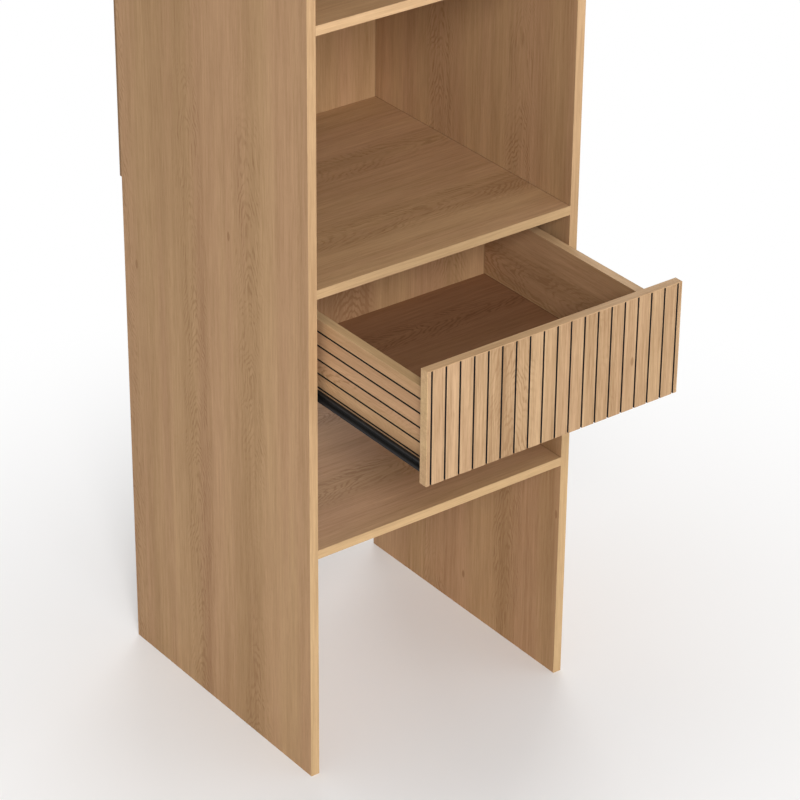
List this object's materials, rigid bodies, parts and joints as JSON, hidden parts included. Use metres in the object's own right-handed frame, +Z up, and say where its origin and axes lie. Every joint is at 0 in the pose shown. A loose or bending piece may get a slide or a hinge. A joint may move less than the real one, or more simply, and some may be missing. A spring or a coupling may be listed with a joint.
{
  "type": "extendable closet organizer",
  "caption": "Open oak-effect wardrobe tower with shelves over open leg space, a grooved drawer on black ball-bearing runners, and extending black hanging rails to both sides.",
  "frame": {"origin": "on the floor, midway across the width and midway along the depth from the drawer's front face at rest to the rear face of the back panel", "axes": "+X to the right seen from the front, +Y to the back, +Z up"},
  "size_m": [1.708, 0.76, 2],
  "materials": {
    "oak_board": "oak-effect melamine with straight and cathedral grain, satin",
    "oak_drawer_board": "oak-effect melamine, satin, with black grooves",
    "oak_edge_band": "light oak-effect edge band, satin",
    "brown_bottom_board": "dark brown wood-effect thin board, satin",
    "beech_dowel": "raw beech",
    "zinc_fitting": "zinc-plated",
    "zinc_screw": "zinc-plated",
    "black_screw": "black oxide, low sheen",
    "black_runner": "black electrophoretic coating, satin",
    "black_bracket": "black powder coat",
    "black_rail": "black powder coat, satin",
    "black_plastic": "moulded black plastic",
    "bearing_steel": "polished bearing steel"
  },
  "bodies": {
    "case": {"left_side_panel": "oak_board", "right_side_panel": "oak_board", "bottom_shelf": "oak_board", "middle_shelf": "oak_board", "upper_shelf": "oak_board", "high_shelf": "oak_board", "top_panel": "oak_board", "back_panel": "oak_board", "case_edge_bands": "oak_edge_band", "cam_locks": "zinc_fitting", "cam_bolts": "zinc_fitting", "wooden_dowels": "beech_dowel", "back_panel_screws": "zinc_screw", "wall_brackets": "black_bracket", "wall_bracket_screws": "zinc_screw", "left_case_runner": "black_runner", "right_case_runner": "black_runner", "case_runner_screws": "black_screw", "left_rail_socket": "black_rail", "right_rail_socket": "black_rail", "left_outer_tube": "black_rail", "right_outer_tube": "black_rail", "left_guide_bush": "black_plastic", "right_guide_bush": "black_plastic", "socket_screws": "black_screw", "socket_set_screws": "black_screw"},
    "drawer": {"drawer_front": "oak_drawer_board", "drawer_left_side": "oak_drawer_board", "drawer_right_side": "oak_drawer_board", "drawer_back": "oak_drawer_board", "drawer_bottom": "brown_bottom_board", "drawer_edge_bands": "oak_edge_band", "drawer_dowels": "beech_dowel", "drawer_back_screws": "zinc_screw", "drawer_bottom_screws": "zinc_screw", "left_drawer_runner": "black_runner", "right_drawer_runner": "black_runner", "drawer_runner_screws": "black_screw"},
    "left_cage": {"left_ball_cage": "black_plastic", "left_balls": "bearing_steel"},
    "right_cage": {"right_ball_cage": "black_plastic", "right_balls": "bearing_steel"},
    "left_rail": {"left_inner_tube": "black_rail", "left_tube_glide": "black_plastic", "left_wall_flange": "black_rail", "left_flange_set_screw": "black_screw"},
    "right_rail": {"right_inner_tube": "black_rail", "right_tube_glide": "black_plastic", "right_wall_flange": "black_rail", "right_flange_set_screw": "black_screw"}
  },
  "joints": [
    {"name": "drawer_slide", "type": "slide", "parent": "case", "child": "drawer", "axis": [0, -1, 0], "range_m": [-0.26, 0.04]},
    {"name": "left_cage_slide", "type": "slide", "parent": "case", "child": "left_cage", "axis": [0, -1, 0], "range_m": [-0.13, 0.02]},
    {"name": "right_cage_slide", "type": "slide", "parent": "case", "child": "right_cage", "axis": [0, -1, 0], "range_m": [-0.13, 0.02]},
    {"name": "left_rail_slide", "type": "slide", "parent": "case", "child": "left_rail", "axis": [-1, 0, 0], "range_m": [-0.12, 0.25]},
    {"name": "right_rail_slide", "type": "slide", "parent": "case", "child": "right_rail", "axis": [1, 0, 0], "range_m": [-0.12, 0.25]}
  ],
  "couplings": [
    {"joint": "left_cage_slide", "follows": "drawer_slide", "ratio": 0.5},
    {"joint": "right_cage_slide", "follows": "drawer_slide", "ratio": 0.5}
  ]
}
